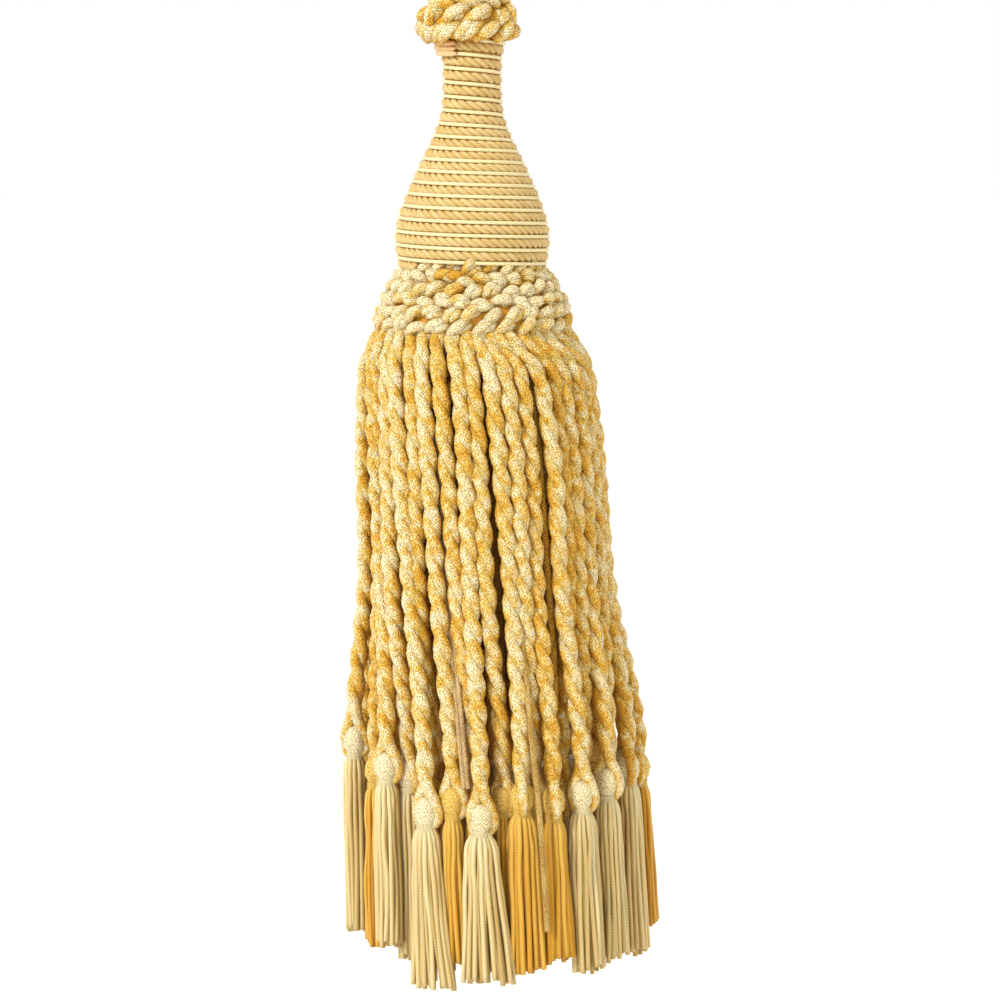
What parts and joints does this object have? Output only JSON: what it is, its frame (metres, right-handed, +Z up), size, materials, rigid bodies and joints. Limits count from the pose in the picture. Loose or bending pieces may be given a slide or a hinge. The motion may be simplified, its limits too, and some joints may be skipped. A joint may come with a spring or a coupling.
{
  "type": "curtain tieback tassel",
  "caption": "Hanging curtain tassel: wound bottle-shaped head between two knotted ruffs, a skirt of twisted cords and a small yarn tassel at the end of each cord.",
  "frame": {"origin": "middle of the crown's top, where the tieback holds the tassel", "axes": "+Z up along the head's axis, -Y the front, +X to the right seen from the front"},
  "size_m": [0.0957, 0.0906, 0.293],
  "materials": {
    "knotted_cord": "knotted variegated cream and gold rayon cord",
    "head_winding": "gold plied rayon rope wound with a thin cream cord",
    "twisted_cord": "variegated cream and gold braided rayon cord, twisted in pairs",
    "cream_yarn": "cream rayon yarn, silky",
    "gold_yarn": "golden yellow rayon yarn, silky",
    "tan_cord": "plain braided tan cord",
    "dark_gold_cord": "plain braided dark gold cord",
    "gold_cord": "plain braided gold cord with a cut end",
    "inner_cord": "plain braided dark gold and tan cords, packed in a bundle"
  },
  "bodies": {
    "root": {"top_ruff": "knotted_cord", "head": "head_winding", "lower_ruff": "knotted_cord", "cord_skirt_1": "twisted_cord", "cord_skirt_2": "twisted_cord", "cord_skirt_3": "twisted_cord", "cord_skirt_4": "twisted_cord", "cord_skirt_5": "twisted_cord", "cord_skirt_6": "twisted_cord", "plain_cord_tan": "tan_cord", "plain_cord_dark": "dark_gold_cord", "loose_cord_gold": "gold_cord", "inner_cords": "inner_cord", "tassel_01": "cream_yarn", "tassel_02": "gold_yarn", "tassel_03": "cream_yarn", "tassel_04": "cream_yarn", "tassel_05": "cream_yarn", "tassel_06": "gold_yarn", "tassel_07": "gold_yarn", "tassel_08": "gold_yarn", "tassel_09": "cream_yarn", "tassel_10": "gold_yarn", "tassel_11": "gold_yarn", "tassel_12": "gold_yarn", "tassel_13": "gold_yarn", "tassel_14": "cream_yarn", "tassel_15": "cream_yarn", "tassel_16": "gold_yarn", "tassel_17": "cream_yarn", "tassel_18": "gold_yarn", "tassel_19": "cream_yarn", "tassel_20": "gold_yarn", "tassel_21": "cream_yarn", "tassel_22": "gold_yarn", "tassel_23": "cream_yarn", "tassel_24": "cream_yarn", "tassel_25": "gold_yarn", "tassel_26": "cream_yarn", "tassel_27": "gold_yarn", "tassel_28": "cream_yarn", "tassel_29": "cream_yarn", "tassel_30": "gold_yarn", "tassel_31": "cream_yarn", "tassel_32": "gold_yarn", "tassel_33": "cream_yarn", "tassel_34": "cream_yarn", "tassel_35": "gold_yarn", "tassel_36": "cream_yarn", "tassel_37": "gold_yarn", "tassel_38": "cream_yarn"}
  },
  "joints": []
}
